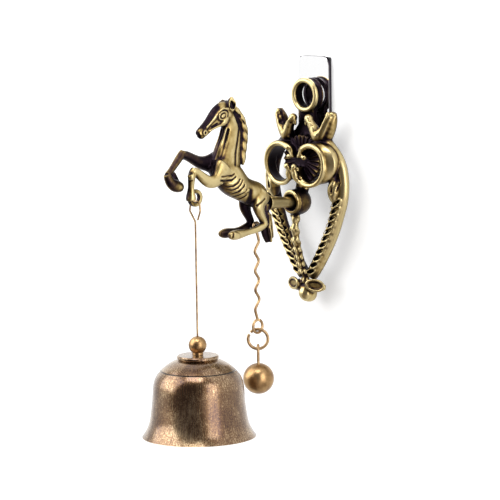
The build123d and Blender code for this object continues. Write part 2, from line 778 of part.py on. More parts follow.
# staple whose legs run down into the ball
staple_top_z = jump_centre_z - jump_radius + jump_wire_radius + link_gap + staple_wire_radius
staple_plane = Plane(origin=(0, bar_y, staple_top_z), x_dir=(1, -1, 0), z_dir=(-1, -1, 0))
staple_foot = staple_top_z - (ball_z + ball_radius) + 1.2
with BuildPart() as staple:
    with BuildLine(staple_plane) as bend:
        FilletPolyline(
            (-staple_radius, -staple_foot),
            (-staple_radius, 0),
            (staple_radius, 0),
            (staple_radius, -staple_foot),
            radius=staple_radius * 0.96,
        )
    with BuildSketch(Plane(origin=bend.line @ 0, z_dir=bend.line % 0)):
        Circle(staple_wire_radius)
    sweep(path=bend.line)
staple.part.label = "ball_staple"
export_step(staple.part, "parts/ball_staple.step")

# striker ball with the staple's two holes
with BuildPart() as ball:
    with Locations((0, bar_y, ball_z)):
        Sphere(ball_radius)
    for side in (-1, 1):
        leg_x = side * staple_radius / math.sqrt(2)
        with BuildSketch(Plane.XY.offset(staple_top_z - staple_foot)):
            with Locations((leg_x, bar_y - leg_x)):
                Circle(staple_wire_radius)
        extrude(amount=2 * ball_radius, mode=Mode.SUBTRACT)
ball.part.label = "striker_ball"
export_step(ball.part, "parts/striker_ball.step")
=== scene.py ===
import bpy
import bmesh
import math
import numpy as np
from mathutils import Matrix, Vector


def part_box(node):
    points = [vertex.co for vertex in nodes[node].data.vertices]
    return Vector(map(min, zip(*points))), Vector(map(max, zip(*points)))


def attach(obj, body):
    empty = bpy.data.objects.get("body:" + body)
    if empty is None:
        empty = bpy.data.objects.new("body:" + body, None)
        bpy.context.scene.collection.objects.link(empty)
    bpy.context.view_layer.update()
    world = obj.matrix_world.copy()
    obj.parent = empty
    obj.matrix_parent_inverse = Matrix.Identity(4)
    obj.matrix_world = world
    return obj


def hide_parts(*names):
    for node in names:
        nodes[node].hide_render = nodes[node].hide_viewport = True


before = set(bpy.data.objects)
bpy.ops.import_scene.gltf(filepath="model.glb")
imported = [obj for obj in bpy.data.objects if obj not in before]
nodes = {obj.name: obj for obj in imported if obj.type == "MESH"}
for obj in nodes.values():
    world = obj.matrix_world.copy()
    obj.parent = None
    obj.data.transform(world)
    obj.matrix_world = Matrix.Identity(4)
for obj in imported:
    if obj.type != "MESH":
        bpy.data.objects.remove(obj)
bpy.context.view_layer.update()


# Wall, camera and lamps
# The chime hangs on a plain white wall, seen from the horse's left side and a little from above.
# The wall stays white in the view and in reflections, and keeps the ornament's soft shadow.
def add_ramp(tree, value, stops):
    """Colour ramp over a value, with stops of (place, colour)."""
    ramp = tree.nodes.new("ShaderNodeValToRGB")
    elements = ramp.color_ramp.elements
    while len(elements) > len(stops):
        elements.remove(elements[-1])
    while len(elements) < len(stops):
        elements.new(1.0)
    for element, (place, colour) in zip(elements, stops):
        element.position = place
        element.color = (*colour, 1.0)
    tree.links.new(value, ramp.inputs[0])
    return ramp


def new_material(name):
    material = bpy.data.materials.new(name)
    material.use_nodes = True
    tree = material.node_tree
    tree.nodes.clear()
    output = tree.nodes.new("ShaderNodeOutputMaterial")
    return material, tree, output


def wall_paint():
    material, tree, output = new_material("wall_paint")
    paint = tree.nodes.new("ShaderNodeBsdfDiffuse")
    paint.inputs["Color"].default_value = (0.80, 0.80, 0.80, 1)
    lift = tree.nodes.new("ShaderNodeEmission")
    lift.inputs["Strength"].default_value = 0.36
    both = tree.nodes.new("ShaderNodeAddShader")
    tree.links.new(paint.outputs[0], both.inputs[0])
    tree.links.new(lift.outputs[0], both.inputs[1])
    path = tree.nodes.new("ShaderNodeLightPath")
    seen = tree.nodes.new("ShaderNodeMath")
    seen.operation = "MAXIMUM"
    tree.links.new(path.outputs["Is Camera Ray"], seen.inputs[0])
    tree.links.new(path.outputs["Is Glossy Ray"], seen.inputs[1])
    choose = tree.nodes.new("ShaderNodeMixShader")
    tree.links.new(seen.outputs[0], choose.inputs[0])
    tree.links.new(paint.outputs[0], choose.inputs[1])
    tree.links.new(both.outputs[0], choose.inputs[2])
    # The wall is clear from behind, so that the back of the chime can be looked at.
    side = tree.nodes.new("ShaderNodeNewGeometry")
    clear = tree.nodes.new("ShaderNodeBsdfTransparent")
    open_back = tree.nodes.new("ShaderNodeMixShader")
    tree.links.new(side.outputs["Backfacing"], open_back.inputs[0])
    tree.links.new(choose.outputs[0], open_back.inputs[1])
    tree.links.new(clear.outputs[0], open_back.inputs[2])
    tree.links.new(open_back.outputs[0], output.inputs[0])
    return material


wall_half = 0.6
wall_y = 0.0002
wall_mesh = bpy.data.meshes.new("wall")
wall_mesh.from_pydata(
    [(-wall_half, wall_y, -wall_half), (wall_half, wall_y, -wall_half),
     (wall_half, wall_y, wall_half), (-wall_half, wall_y, wall_half)], [], [(0, 1, 2, 3)])
wall = bpy.data.objects.new("wall", wall_mesh)
wall_mesh.materials.append(wall_paint())
bpy.context.scene.collection.objects.link(wall)

view_side = math.radians(45.0)
view_down = math.radians(8.0)
view_roll = math.radians(0.9)
view_distance = 1.1
metres_per_pixel = 0.0003572
picture_pixels = 500
origin_pixel = (316.9, 112.0)
away = Vector((math.sin(view_side) * math.cos(view_down), -math.cos(view_side) * math.cos(view_down),
               math.sin(view_down)))
level = Vector((math.cos(view_side), math.sin(view_side), 0.0))
upright = away.cross(level)
right = math.cos(view_roll) * level - math.sin(view_roll) * upright
up = math.sin(view_roll) * level + math.cos(view_roll) * upright
camera_data = bpy.data.cameras.new("camera")
camera_data.sensor_width = 36.0
camera_data.lens = camera_data.sensor_width * view_distance / metres_per_pixel / picture_pixels
camera = bpy.data.objects.new("camera", camera_data)
camera_place = (away * view_distance - right * (origin_pixel[0] - picture_pixels / 2) * metres_per_pixel
                + up * (origin_pixel[1] - picture_pixels / 2) * metres_per_pixel)
camera.matrix_world = Matrix.Translation(camera_place) @ Matrix((right, up, away)).transposed().to_4x4()
camera_data.clip_start = 0.05
bpy.context.scene.collection.objects.link(camera)
bpy.context.scene.camera = camera


def add_lamp(name, place, target, size, power):
    data = bpy.data.lights.new(name, "AREA")
    data.shape = "RECTANGLE"
    data.size, data.size_y = size
    data.energy = power
    lamp = bpy.data.objects.new(name, data)
    lamp.location = place
    lamp.rotation_mode = "QUATERNION"
    lamp.rotation_quaternion = (Vector(place) - Vector(target)).to_track_quat("Z", "Y")
    bpy.context.scene.collection.objects.link(lamp)


middle = (0.0, -0.035, -0.04)
add_lamp("key_lamp", (-0.52, -0.62, 0.38), middle, (0.9, 0.9), 9.0)
add_lamp("side_lamp", (0.74, -0.16, 0.10), middle, (0.36, 0.8), 3.4)
add_lamp("top_lamp", (0.15, -0.35, 0.75), middle, (0.5, 0.3), 4.0)

# The studio, as metal sees it: a white side on the left, which the strip mirrors, a tall card on
# the right, and a dark room between them behind the camera. The bands go once round by compass.
world = bpy.data.worlds.new("studio")
world.use_nodes = True
bpy.context.scene.world = world
sky = world.node_tree
sky.nodes.clear()
sky_output = sky.nodes.new("ShaderNodeOutputWorld")
heading = sky.nodes.new("ShaderNodeTexCoord")
split_heading = sky.nodes.new("ShaderNodeSeparateXYZ")
sky.links.new(heading.outputs["Generated"], split_heading.inputs[0])
turned_away = sky.nodes.new("ShaderNodeMath")
turned_away.operation = "MULTIPLY"
turned_away.inputs[1].default_value = -1.0
sky.links.new(split_heading.outputs["Y"], turned_away.inputs[0])
compass = sky.nodes.new("ShaderNodeMath")
compass.operation = "ARCTAN2"
sky.links.new(split_heading.outputs["X"], compass.inputs[0])
sky.links.new(turned_away.outputs[0], compass.inputs[1])
round_room = sky.nodes.new("ShaderNodeMapRange")
round_room.inputs["From Min"].default_value = -math.pi
round_room.inputs["From Max"].default_value = math.pi
sky.links.new(compass.outputs[0], round_room.inputs["Value"])
raised = sky.nodes.new("ShaderNodeMath")
raised.operation = "MULTIPLY_ADD"
raised.inputs[1].default_value = -0.10
sky.links.new(split_heading.outputs["Z"], raised.inputs[0])
sky.links.new(round_room.outputs[0], raised.inputs[2])
bands = add_ramp(sky, raised.outputs[0], [
    (0.0, (1.0, 1.0, 1.0)), (0.404, (1.0, 1.0, 1.0)), (0.430, (0.17, 0.155, 0.16)),
    (0.56, (0.11, 0.095, 0.10)), (0.645, (0.15, 0.135, 0.14)), (0.675, (1.15, 1.08, 1.05)),
    (0.745, (1.15, 1.08, 1.05)), (0.785, (0.42, 0.39, 0.37)), (1.0, (1.0, 1.0, 1.0))])
reflected = sky.nodes.new("ShaderNodeBackground")
sky.links.new(bands.outputs[0], reflected.inputs["Color"])
plain_light = sky.nodes.new("ShaderNodeBackground")
plain_light.inputs["Strength"].default_value = 0.45
white_light = sky.nodes.new("ShaderNodeBackground")
sky_path = sky.nodes.new("ShaderNodeLightPath")
gloss = sky.nodes.new("ShaderNodeMixShader")
sky.links.new(sky_path.outputs["Is Glossy Ray"], gloss.inputs[0])
sky.links.new(plain_light.outputs[0], gloss.inputs[1])
sky.links.new(reflected.outputs[0], gloss.inputs[2])
seen_sky = sky.nodes.new("ShaderNodeMixShader")
sky.links.new(sky_path.outputs["Is Camera Ray"], seen_sky.inputs[0])
sky.links.new(gloss.outputs[0], seen_sky.inputs[1])
sky.links.new(white_light.outputs[0], seen_sky.inputs[2])
sky.links.new(seen_sky.outputs[0], sky_output.inputs[0])
bpy.context.scene.view_settings.view_transform = "Standard"


# Foam pad
# A thin pad of black closed-cell foam with glue on both faces, cut to the strip's outline.
# It is flat on the wall and on the strip, and its edge is drawn in a little between them.
def add_bump(tree, height, strength, distance, shader):
    bump = tree.nodes.new("ShaderNodeBump")
    bump.inputs["Strength"].default_value = strength
    bump.inputs["Distance"].default_value = distance
    tree.links.new(height, bump.inputs["Height"])
    tree.links.new(bump.outputs[0], shader.inputs["Normal"])


def black_foam():
    material, tree, output = new_material("black_foam")
    foam = tree.nodes.new("ShaderNodeBsdfPrincipled")
    foam.inputs["Roughness"].default_value = 0.9
    place = tree.nodes.new("ShaderNodeTexCoord")
    cells = tree.nodes.new("ShaderNodeTexVoronoi")
    cells.inputs["Scale"].default_value = 9000.0
    tree.links.new(place.outputs["Object"], cells.inputs["Vector"])
    tint = add_ramp(tree, cells.outputs["Distance"], [
        (0.1, (0.010, 0.010, 0.012)), (0.7, (0.030, 0.029, 0.032))])
    tree.links.new(tint.outputs[0], foam.inputs["Base Color"])
    add_bump(tree, cells.outputs["Distance"], 0.6, 0.00004, foam)
    tree.links.new(foam.outputs[0], output.inputs[0])
    return material


def pad_outline(half_width, foot, top, corner, inset):
    """Outline with two round top corners, as (x, z) points in metres."""
    points = [(-half_width + inset, foot + inset), (half_width - inset, foot + inset)]
    radius = corner - inset
    for middle_x, first_turn in ((half_width - corner, 0.0), (corner - half_width, 0.5)):
        for step in range(corner_steps + 1):
            turn = math.pi * (first_turn + step / (2 * corner_steps))
            points.append((middle_x + radius * math.cos(turn), top - corner + radius * math.sin(turn)))
    return points


corner_steps = 8
pad_low, pad_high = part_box("foam_pad")
pad_corner = 0.0006
pad_draw = 0.00012
pad_layers = 6
pad_skin = bmesh.new()
pad_rows = []
for layer in range(pad_layers + 1):
    share = layer / pad_layers
    depth = pad_high[1] + (pad_low[1] - pad_high[1]) * share
    inset = pad_draw * math.sin(math.pi * share)
    outline = pad_outline(pad_high[0], pad_low[2], pad_high[2], pad_corner, inset)
    pad_rows.append([pad_skin.verts.new((x, depth, z)) for x, z in outline])
for back, front in zip(pad_rows[:-1], pad_rows[1:]):
    for index in range(len(back)):
        following = (index + 1) % len(back)
        pad_skin.faces.new((back[index], back[following], front[following], front[index]))
pad_skin.faces.new(list(reversed(pad_rows[0])))
pad_skin.faces.new(pad_rows[-1])
bmesh.ops.recalc_face_normals(pad_skin, faces=pad_skin.faces)
pad_mesh = bpy.data.meshes.new("pad_foam")
pad_skin.to_mesh(pad_mesh)
pad_skin.free()
pad_mesh.materials.append(black_foam())
pad = bpy.data.objects.new("pad_foam", pad_mesh)
bpy.context.scene.collection.objects.link(pad)
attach(pad, "frame")
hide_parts("foam_pad")


# Wall strip
# A steel strip, cut with two round corners. Its face is polished like a mirror with a fine grain,
# and its cut edge is left dark.
colour_a, colour_b, colour_out = 6, 7, 2    # the colour sockets of a Mix node


def add_noise(tree, place, scale, detail=2.0, roughness=0.5):
    noise = tree.nodes.new("ShaderNodeTexNoise")
    noise.inputs["Scale"].default_value = scale
    noise.inputs["Detail"].default_value = detail
    noise.inputs["Roughness"].default_value = roughness
    tree.links.new(place, noise.inputs["Vector"])
    return noise


def add_range(tree, value, given, wanted=(0.0, 1.0)):
    """Maps a value from the given range, clamped, to the wanted one."""
    scaled = tree.nodes.new("ShaderNodeMapRange")
    scaled.inputs["From Min"].default_value, scaled.inputs["From Max"].default_value = given
    scaled.inputs["To Min"].default_value, scaled.inputs["To Max"].default_value = wanted
    tree.links.new(value, scaled.inputs["Value"])
    return scaled


def polished_steel():
    material, tree, output = new_material("polished_steel")
    steel = tree.nodes.new("ShaderNodeBsdfPrincipled")
    steel.inputs["Metallic"].default_value = 1.0
    place = tree.nodes.new("ShaderNodeTexCoord")
    stretch = tree.nodes.new("ShaderNodeMapping")
    stretch.inputs["Scale"].default_value = (9000, 9000, 120)
    tree.links.new(place.outputs["Object"], stretch.inputs[0])
    grain = add_noise(tree, stretch.outputs[0], 1.0)
    facing = tree.nodes.new("ShaderNodeSeparateXYZ")
    tree.links.new(place.outputs["Normal"], facing.inputs[0])
    edge = add_range(tree, facing.outputs["Y"], (-0.9, -0.55))
    polish = add_ramp(tree, grain.outputs[0], [(0.35, (0.97, 0.97, 0.975)), (0.65, (0.99, 0.99, 0.99))])
    tint = tree.nodes.new("ShaderNodeMix")
    tint.data_type = "RGBA"
    tree.links.new(edge.outputs[0], tint.inputs[0])
    tree.links.new(polish.outputs[0], tint.inputs[colour_a])
    tint.inputs[colour_b].default_value = (0.035, 0.028, 0.038, 1)
    tree.links.new(tint.outputs[colour_out], steel.inputs["Base Color"])
    rough = add_range(tree, grain.outputs[0], (0.0, 1.0), (0.04, 0.08))
    duller = tree.nodes.new("ShaderNodeMath")
    duller.operation = "MULTIPLY_ADD"
    duller.inputs[1].default_value = 0.4
    tree.links.new(edge.outputs[0], duller.inputs[0])
    tree.links.new(rough.outputs[0], duller.inputs[2])
    tree.links.new(duller.outputs[0], steel.inputs["Roughness"])
    tree.links.new(steel.outputs[0], output.inputs[0])
    return material


def paint_node(name, material):
    """Gives a CAD node its material and leaves its mesh as it is."""
    piece = nodes[name]
    if not piece.material_slots:
        piece.data.materials.append(material)
    for place in piece.material_slots:
        place.link = "OBJECT"
        place.material = material


paint_node("wall_strip", polished_steel())


# Cast ornament
# One die casting in zinc: ring, birds, rosette, scrolls, slotted legs, husks and bud in one piece.
# It is plated dark and rubbed back, so its edges are gold; its gold fronts and nearly black flanks are partly
# rubbing and partly painted light and shade.
def strand(pieces, path):
    """Adds a round strand through points of (x, y, z, radius), in millimetres."""
    curve = bpy.data.curves.new("strand", "CURVE")
    curve.dimensions = "3D"
    curve.bevel_depth = 1.0
    curve.bevel_resolution = 3
    curve.resolution_u = 6
    curve.use_fill_caps = True
    spline = curve.splines.new("NURBS")
    spline.points.add(len(path) - 1)
    for place, (x, y, z, radius) in zip(spline.points, path):
        place.co = (x, y, z, 1.0)
        place.radius = radius
    spline.order_u = 3
    spline.use_endpoint_u = True
    piece = bpy.data.objects.new("strand", curve)
    mesh = bpy.data.meshes.new_from_object(piece)
    bpy.data.objects.remove(piece)
    pieces.append(mesh)


def casting(name, grain, strands=()):
    """Copy of a CAD node, melted together with its strands into one skin, in millimetres."""
    body = bmesh.new()
    body.from_mesh(nodes[name].data)
    bmesh.ops.scale(body, vec=(1000, 1000, 1000), verts=body.verts)
    bmesh.ops.remove_doubles(body, verts=body.verts, dist=0.0005)
    for mesh in strands:
        body.from_mesh(mesh)
    melted = bpy.data.meshes.new(name + "_cast")
    body.to_mesh(melted)
    body.free()
    piece = bpy.data.objects.new(name + "_cast", melted)
    bpy.context.scene.collection.objects.link(piece)
    melt = piece.modifiers.new("melt", "REMESH")
    melt.mode = "VOXEL"
    melt.voxel_size = grain
    melt.adaptivity = 0.0
    seen = piece.evaluated_get(bpy.context.evaluated_depsgraph_get())
    skin = bpy.data.meshes.new_from_object(seen)
    piece.modifiers.remove(melt)
    piece.data = skin
    return piece


def read_skin(piece):
    """Places and normals of the skin's points, and the pairs of points its edges join."""
    skin = piece.data
    places = np.empty(len(skin.vertices) * 3)
    skin.vertices.foreach_get("co", places)
    outward = np.empty(len(skin.vertices) * 3)
    skin.vertex_normals.foreach_get("vector", outward)
    pairs = np.empty(len(skin.edges) * 2, dtype=np.int32)
    skin.edges.foreach_get("vertices", pairs)
    return places.reshape(-1, 3), outward.reshape(-1, 3), pairs.reshape(-1, 2)


def soften(values, pairs, rounds):
    """Values spread evenly over the neighbours on the skin."""
    first, second = pairs[:, 0], pairs[:, 1]
    count = len(values)
    shares = np.bincount(first, minlength=count) + np.bincount(second, minlength=count)
    values = values.astype(float)
    for _ in range(rounds):
        for column in range(values.shape[1]):
            lane = values[:, column]
            near = (np.bincount(first, weights=lane[second], minlength=count)
                    + np.bincount(second, weights=lane[first], minlength=count))
            values[:, column] = 0.5 * lane + 0.5 * near / np.maximum(shares, 1)
    return values


def reach_of(places, path):
    """Distance of each place on the skin from a line of points."""
    reach = np.full(len(places), 1e9)
    for start, end in zip(path[:-1], path[1:]):
        start, end = np.array(start), np.array(end)
        run = end - start
        share = np.clip((places - start) @ run / (run @ run), 0, 1)
        reach = np.minimum(reach, np.linalg.norm(places - start - share[:, None] * run, axis=1))
    return reach


def carve(places, outward, facing, lines):
    """Works lines of (path, depth, width, mark) into both sides of the skin.

    A line is sunk by its depth, or raised where that is negative, and its mark is added to the wear and painted
    shade."""
    for path, depth, width, mark in lines:
        for side in (-1, 1):
            near = np.exp(-(reach_of(places, [(side * x, y, z) for x, y, z in path]) / width) ** 2)
            places = places - outward * (depth * near)[:, None]
            facing = facing + mark * near
    return places, facing


def finish_casting(piece, places, outward, pairs, facing, name):
    """Writes the skin back with one value from 0 to 1: how far the finish is rubbed off, with painted shade and
    painted light by facing mixed in.
    """
    wear_and_shade = np.full(len(places), 0.45)
    finer = places
    # what stands out over its surroundings is rubbed: fine edges, then swellings, then whole forms
    for rounds, height, share in ((10, 0.03, 0.16), (60, 0.16, 0.16), (160, 0.30, 0.10)):
        coarser = soften(finer, pairs, rounds)
        relief = ((finer - coarser) * outward).sum(axis=1) / height
        wear_and_shade += share * np.clip(relief, -1.5, 1.5)
        finer = coarser
    # facing brings in painted shade and painted light by the skin's direction, with the lines' marks
    wear_and_shade += facing
    low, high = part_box(name)
    places = np.clip(places / 1000, np.array(low), np.array(high))
    skin = piece.data
    skin.vertices.foreach_set("co", places.ravel())
    skin.update()
    layer = skin.attributes.new("wear_and_shade", "FLOAT", "POINT")
    layer.data.foreach_set("value", np.clip(wear_and_shade, 0, 1))
    skin.polygons.foreach_set("use_smooth", np.ones(len(skin.polygons), dtype=bool))


def antique_brass():
    material, tree, output = new_material("antique_brass")
    brass = tree.nodes.new("ShaderNodeBsdfPrincipled")
    place = tree.nodes.new("ShaderNodeTexCoord")
    # wear and painted shade from the skin, darker in hollows both as patina left there and as painted shade from
    # their occlusion, broken up by a fine cloud
    worn_and_shaded = tree.nodes.new("ShaderNodeAttribute")
    worn_and_shaded.attribute_name = "wear_and_shade"
    hollow = tree.nodes.new("ShaderNodeAmbientOcclusion")
    hollow.samples = 8
    hollow.inputs["Distance"].default_value = 0.005
    shade = add_range(tree, hollow.outputs["AO"], (0.35, 0.95), (-0.34, 0.08))
    cloud = add_noise(tree, place.outputs["Object"], 520.0, detail=5.0)
    stain = add_range(tree, cloud.outputs[0], (0.3, 0.7), (-0.12, 0.12))
    first = tree.nodes.new("ShaderNodeMath")
    tree.links.new(worn_and_shaded.outputs["Fac"], first.inputs[0])
    tree.links.new(shade.outputs[0], first.inputs[1])
    rub_and_shade = tree.nodes.new("ShaderNodeMath")
    tree.links.new(first.outputs[0], rub_and_shade.inputs[0])
    tree.links.new(stain.outputs[0], rub_and_shade.inputs[1])
    tone = add_ramp(tree, rub_and_shade.outputs[0], [
        (0.10, (0.013, 0.008, 0.012)), (0.32, (0.042, 0.025, 0.020)), (0.48, (0.115, 0.074, 0.030)),
        (0.66, (0.235, 0.165, 0.058)), (0.88, (0.42, 0.315, 0.135)), (1.0, (0.52, 0.42, 0.21))])
    tree.links.new(tone.outputs[0], brass.inputs["Base Color"])
    rough = add_range(tree, rub_and_shade.outputs[0], (0.1, 0.9), (0.40, 0.32))
    tree.links.new(rough.outputs[0], brass.inputs["Roughness"])
    brass.inputs["Metallic"].default_value = 1.0
    skin = add_noise(tree, place.outputs["Object"], 2600.0, detail=3.0)
    add_bump(tree, skin.outputs[0], 0.35, 0.00005, brass)
    tree.links.new(brass.outputs[0], output.inputs[0])
    return material


# The row of slots down a leg: where it starts, how far it runs in and down, and how it bends.
seat = 1.7
slot_count = 11
slot_slope, slot_turn = 34.0, 14.0
slot_shrink = 0.25
slot_face_y = -7.75
row_top_x, row_run_x, row_bend = 16.0, 12.6, 1.3
row_top_z, row_run_z = -31.0, 25.4


def row_place(share):
    """Place (x, z) on the row of slots, share going from 0 at the top to 1 at the foot."""
    return row_top_x - row_run_x * share ** row_bend, row_top_z - row_run_z * share


def slot_rims(count, rim, length, width, slope, turn):
    """Raised rims round the slots of both legs, from one node tree, as a plain mesh."""
    tree = bpy.data.node_groups.new("slot_rims", "GeometryNodeTree")
    tree.interface.new_socket("Geometry", in_out="INPUT", socket_type="NodeSocketGeometry")
    tree.interface.new_socket("Geometry", in_out="OUTPUT", socket_type="NodeSocketGeometry")
    sizes = {"Count": ("NodeSocketInt", count), "Rim": ("NodeSocketFloat", rim),
             "Length": ("NodeSocketFloat", length), "Width": ("NodeSocketFloat", width),
             "Slope": ("NodeSocketFloat", slope), "Turn": ("NodeSocketFloat", turn)}
    for label, (kind, _) in sizes.items():
        tree.interface.new_socket(label, in_out="INPUT", socket_type=kind)
    given = tree.nodes.new("NodeGroupInput")
    result = tree.nodes.new("NodeGroupOutput")

    def math_node(operation, first, second=None, third=None):
        node = tree.nodes.new("ShaderNodeMath")
        node.operation = operation
        for slot, value in zip(node.inputs, (first, second, third)):
            if value is None:
                continue
            if isinstance(value, (int, float)):
                slot.default_value = value
            else:
                tree.links.new(value, slot)
        return node.outputs[0]

    def joined(*parts):
        node = tree.nodes.new("ShaderNodeCombineXYZ")
        for slot, value in zip(node.inputs, parts):
            if isinstance(value, (int, float)):
                slot.default_value = value
            else:
                tree.links.new(value, slot)
        return node.outputs[0]

    line = tree.nodes.new("GeometryNodeMeshLine")
    tree.links.new(given.outputs["Count"], line.inputs["Count"])
    index = tree.nodes.new("GeometryNodeInputIndex")
    last = math_node("SUBTRACT", given.outputs["Count"], 1.0)
    share = math_node("DIVIDE", index.outputs[0], last)
    across = math_node("MULTIPLY_ADD", math_node("POWER", share, row_bend), -row_run_x, row_top_x)
    height = math_node("MULTIPLY_ADD", share, -row_run_z, row_top_z)
    laid = tree.nodes.new("GeometryNodeSetPosition")
    tree.links.new(line.outputs[0], laid.inputs["Geometry"])
    tree.links.new(joined(across, slot_face_y, height), laid.inputs["Position"])
    loop = tree.nodes.new("GeometryNodeCurvePrimitiveCircle")
    loop.inputs["Resolution"].default_value = 20
    loop.inputs["Radius"].default_value = 1.0
    flat = tree.nodes.new("GeometryNodeTransform")
    flat.inputs["Rotation"].default_value = (math.pi / 2, 0, 0)
    tree.links.new(loop.outputs[0], flat.inputs["Geometry"])
    drawn = tree.nodes.new("GeometryNodeTransform")
    tree.links.new(flat.outputs[0], drawn.inputs["Geometry"])
    half_length = math_node("MULTIPLY", given.outputs["Length"], 0.5)
    half_width = math_node("MULTIPLY", given.outputs["Width"], 0.5)
    tree.links.new(joined(half_length, 1.0, half_width), drawn.inputs["Scale"])
    wire = tree.nodes.new("GeometryNodeCurvePrimitiveCircle")
    wire.inputs["Resolution"].default_value = 8
    tree.links.new(given.outputs["Rim"], wire.inputs["Radius"])
    tube = tree.nodes.new("GeometryNodeCurveToMesh")
    tree.links.new(drawn.outputs[0], tube.inputs["Curve"])
    tree.links.new(wire.outputs[0], tube.inputs["Profile Curve"])
    copies = tree.nodes.new("GeometryNodeInstanceOnPoints")
    tree.links.new(laid.outputs[0], copies.inputs["Points"])
    tree.links.new(tube.outputs[0], copies.inputs["Instance"])
    tilt = math_node("RADIANS", math_node("SUBTRACT", math_node("MULTIPLY", share, given.outputs["Turn"]),
                                          given.outputs["Slope"]))
    tree.links.new(joined(0.0, tilt, 0.0), copies.inputs["Rotation"])
    shrink = math_node("MULTIPLY_ADD", share, -slot_shrink, 1.0)
    tree.links.new(joined(shrink, 1.0, 1.0), copies.inputs["Scale"])
    right_leg = tree.nodes.new("GeometryNodeRealizeInstances")
    tree.links.new(copies.outputs[0], right_leg.inputs[0])
    turned = tree.nodes.new("GeometryNodeTransform")
    turned.inputs["Scale"].default_value = (-1, 1, 1)
    tree.links.new(right_leg.outputs[0], turned.inputs["Geometry"])
    left_leg = tree.nodes.new("GeometryNodeFlipFaces")
    tree.links.new(turned.outputs[0], left_leg.inputs[0])
    both = tree.nodes.new("GeometryNodeJoinGeometry")
    tree.links.new(right_leg.outputs[0], both.inputs[0])
    tree.links.new(left_leg.outputs[0], both.inputs[0])
    coat = tree.nodes.new("GeometryNodeSetMaterial")
    coat.inputs["Material"].default_value = brass_with_painted_shade
    tree.links.new(both.outputs[0], coat.inputs["Geometry"])
    tree.links.new(coat.outputs[0], result.inputs[0])

    carrier = bpy.data.objects.new("slot_rims", bpy.data.meshes.new("slot_rims"))
    bpy.context.scene.collection.objects.link(carrier)
    maker = carrier.modifiers.new("slot_rims", "NODES")
    maker.node_group = tree
    for socket in tree.interface.items_tree:
        if socket.in_out == "INPUT" and socket.name in sizes:
            maker[socket.identifier] = sizes[socket.name][1]
    seen = carrier.evaluated_get(bpy.context.evaluated_depsgraph_get())
    mesh = bpy.data.meshes.new_from_object(seen)
    carrier.modifiers.remove(maker)
    bpy.data.objects.remove(carrier)
    return mesh


def ornament_strand(path):
    """Strand on the ornament and its mirror image, through points of (x, depth, z, radius)."""
    for side in (-1, 1):
        strand(ornament_strands, [(side * x, -(seat + depth), z, radius) for x, depth, z, radius in path])


def loop_of(count, place):
    """Closed path through the places of count equal turns."""
    return [place(2 * math.pi * step / count) for step in range(count + 1)]


brass_with_painted_shade = antique_brass()
ornament_strands = [slot_rims(count=slot_count, rim=0.26, length=5.6, width=1.9,
                              slope=slot_slope, turn=slot_turn)]
# floors of the slots
floor_row = [(step / 8, *row_place(step / 8)) for step in range(9)]
ornament_strand([(x, 4.1, z, 1.3 - 0.3 * share) for share, x, z in floor_row])
# thick lip of the ring
strand(ornament_strands, [(x, -(seat + 4.4), z, 1.0) for x, z in
                          loop_of(24, lambda turn: (5.3 * math.cos(turn), 6.5 + 5.3 * math.sin(turn)))])
# wings: a broad outer lobe, an inner one, and their bright front edges
ornament_strand([(9.3, 6.2, -8.4, 1.0), (11.4, 6.2, -4.4, 1.25), (13.2, 5.2, -0.2, 0.75)])
ornament_strand([(10.7, 4.9, -7.6, 1.0), (13.4, 4.4, -3.4, 1.2), (14.3, 4.0, 0.0, 0.6)])
ornament_strand([(8.6, 7.3, -8.0, 0.5), (10.7, 7.2, -3.8, 0.5), (12.5, 6.4, -0.1, 0.4)])
ornament_strand([(4.4, 7.4, -1.9, 0.8), (6.4, 7.2, -4.4, 1.15), (8.6, 6.7, -7.4, 1.1)])
ornament_strand([(7.0, 7.0, -6.6, 0.8), (6.0, 7.3, -8.0, 0.5), (5.2, 7.2, -8.8, 0.25)])
# rims of the scrolls, a little fuller than the casting's core
ornament_strand([(7.4 + 6.7 * math.cos(turn), 9.9, -17.8 + 7.0 * math.sin(turn), 0.9)
                 for turn in [math.radians(128 - 16 * step) for step in range(17)]])
# husks: three lobes each
husks = [(9.6, -35.4), (10.1, -40.2), (9.7, -44.4), (8.9, -47.8),
         (8.0, -50.6), (7.1, -53.2), (6.2, -56.0), (4.9, -59.2)]
for husk_depth, z in husks:
    reach = seat + husk_depth
    strand(ornament_strands, [(0.0, -(reach + 0.7), z + 0.9, 0.5), (0.0, -(reach + 1.2), z - 0.5, 0.85),
                              (0.0, -(reach + 1.3), z - 1.5, 0.6)])
    ornament_strand([(0.5, husk_depth + 0.3, z + 0.9, 0.45), (1.4, husk_depth + 0.6, z - 0.3, 0.75),
                     (1.9, husk_depth + 0.7, z - 1.3, 0.5)])
# petals: a raised rim round a shallow dish
ornament_strand(loop_of(16, lambda turn: (5.3 + 3.3 * math.cos(turn), 6.0 - 1.2 * math.cos(turn),
                                          -61.3 + 2.0 * math.sin(turn) - 0.2 * math.cos(turn), 0.5)))
for rise in (-1.3, -0.65, 0.0, 0.65, 1.3):
    ornament_strand([(2.2, 6.3, -61.1, 0.5), (5.3, 5.2, -61.3 + rise, 0.65), (8.3, 4.4, -61.5, 0.45)])
# bud
strand(ornament_strands, [(0.0, -(seat + 5.0), z, radius) for z, radius in
                          ((-61.4, 1.4), (-63.0, 2.6), (-64.9, 2.95), (-66.6, 2.2), (-67.5, 0.7))])
# arch over the arm on top of the boss, and the collar inside it
strand(ornament_strands, [(3.4 * math.cos(turn), -(seat + 12.3), -31.2 + 4.1 * math.sin(turn), 0.62)
                          for turn in [math.radians(20 + 20 * step) for step in range(8)]])
strand(ornament_strands, [(x, -(seat + 11.6), z, 0.7) for x, z in
                          loop_of(20, lambda turn: (3.2 * math.cos(turn), -31.2 + 3.2 * math.sin(turn)))])
